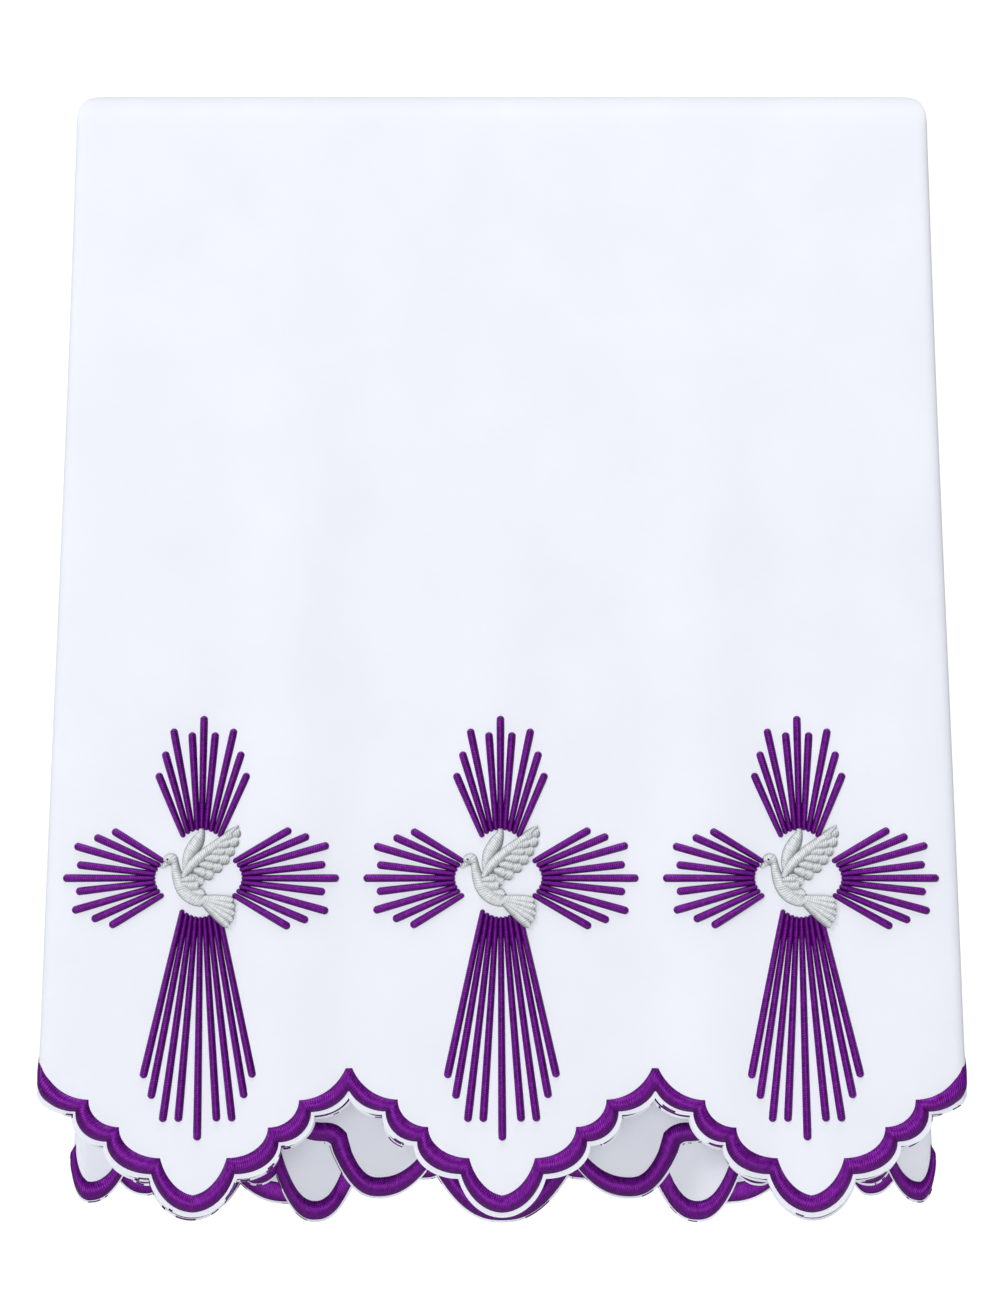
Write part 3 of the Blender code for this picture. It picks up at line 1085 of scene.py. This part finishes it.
def make_camera():
    data = bpy.data.cameras.new("camera")
    data.lens = CAMERA_LENS
    data.sensor_width = CAMERA_SENSOR
    data.sensor_fit = "HORIZONTAL"
    data.clip_start = CAMERA_NEAREST
    camera = bpy.data.objects.new("camera", data)
    camera.location = CAMERA_PLACE
    camera.rotation_euler = (math.radians(90 + CAMERA_TILT), 0, 0)
    bpy.context.scene.collection.objects.link(camera)
    bpy.context.scene.camera = camera


def broad_light(name, azimuth, elevation, spread_angle, strength):
    """Even parallel light from one side of the camera, with soft shadows."""
    data = bpy.data.lights.new(name, "SUN")
    data.angle = math.radians(spread_angle)
    data.energy = strength
    light = bpy.data.objects.new(name, data)
    turn, lift = math.radians(azimuth), math.radians(elevation)
    towards = Vector((math.sin(turn) * math.cos(lift), -math.cos(turn) * math.cos(lift), math.sin(lift)))
    light.location = towards * LIGHT_DISTANCE
    light.rotation_euler = (-towards).to_track_quat("-Z", "Y").to_euler()
    bpy.context.scene.collection.objects.link(light)


def make_stage(lowest):
    """A plain pale floor below the cloth."""
    material, _, _, shader = new_material("floor_paint")
    shader.inputs["Base Color"].default_value = FLOOR_COLOUR
    shader.inputs["Roughness"].default_value = FLOOR_ROUGHNESS
    bpy.ops.mesh.primitive_circle_add(vertices=FLOOR_SIDES, radius=FLOOR_RADIUS, fill_type="NGON")
    floor = bpy.context.object
    floor.name = "floor"
    floor.location = (0, FLOOR_BACK, lowest - FLOOR_DROP)
    floor.data.materials.append(material)


def make_world():
    """Even soft light from all round, and a pure white background behind the cloth."""
    world = bpy.data.worlds.new("studio")
    world.use_nodes = True
    nodes, links = world.node_tree.nodes, world.node_tree.links
    ambient = nodes["Background"]
    ambient.inputs["Color"].default_value = WHITE
    ambient.inputs["Strength"].default_value = WORLD_STRENGTH
    seen = nodes.new("ShaderNodeBackground")
    seen.inputs["Color"].default_value = WHITE
    seen.inputs["Strength"].default_value = BACKGROUND_STRENGTH
    ray_kind = nodes.new("ShaderNodeLightPath")
    choice = nodes.new("ShaderNodeMixShader")
    links.new(ray_kind.outputs["Is Camera Ray"], choice.inputs[0])
    links.new(ambient.outputs[0], choice.inputs[1])
    links.new(seen.outputs[0], choice.inputs[2])
    links.new(choice.outputs[0], nodes["World Output"].inputs["Surface"])
    bpy.context.scene.world = world


def make_light():
    bpy.context.scene.view_settings.view_transform = "Standard"
    for light in LIGHTS:
        broad_light(*light)


def main():
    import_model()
    cad_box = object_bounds()

    cloth, flat_area = make_cloth(cloth_material())
    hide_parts("altar_cloth")
    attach(cloth, "root")

    purple = thread_material("purple_thread")
    stitched = []
    for name, side, half in (
        ("hem_border_front", "front", front_stations()),
        ("hem_border_rear", "rear", rear_stations()),
    ):
        stitching = Stitching()
        border(stitching, half, side)
        stray_stitches(stitching, half, side)
        stitched.append(stitching.finish(name, purple))
    for name, number in (("rays_left", -1), ("rays_middle", 0), ("rays_right", 1)):
        stitching = Stitching()
        cross_rays(stitching, (CROSS_MIDDLE + number * CROSS_PITCH, CROSS_HEIGHT))
        stitched.append(stitching.finish(name, purple))
    for piece in stitched:
        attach(piece, "root")

    grey = thread_material("grey_thread")
    dark = thread_material("eye_thread")
    for name, number in (("left", -1), ("middle", 0), ("right", 1)):
        centre = (CROSS_MIDDLE + RING_OFFSET.x + number * CROSS_PITCH, CROSS_HEIGHT)
        for part, make, material in (("dove", dove, grey), ("dove_eye", dove_eye, dark)):
            stitching = Stitching()
            make(stitching, centre)
            piece = stitching.finish(f"{part}_{name}", material)
            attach(piece, "root")
            stitched.append(piece)

    make_camera()
    make_world()
    make_light()
    make_stage(cad_box[0].z)


main()
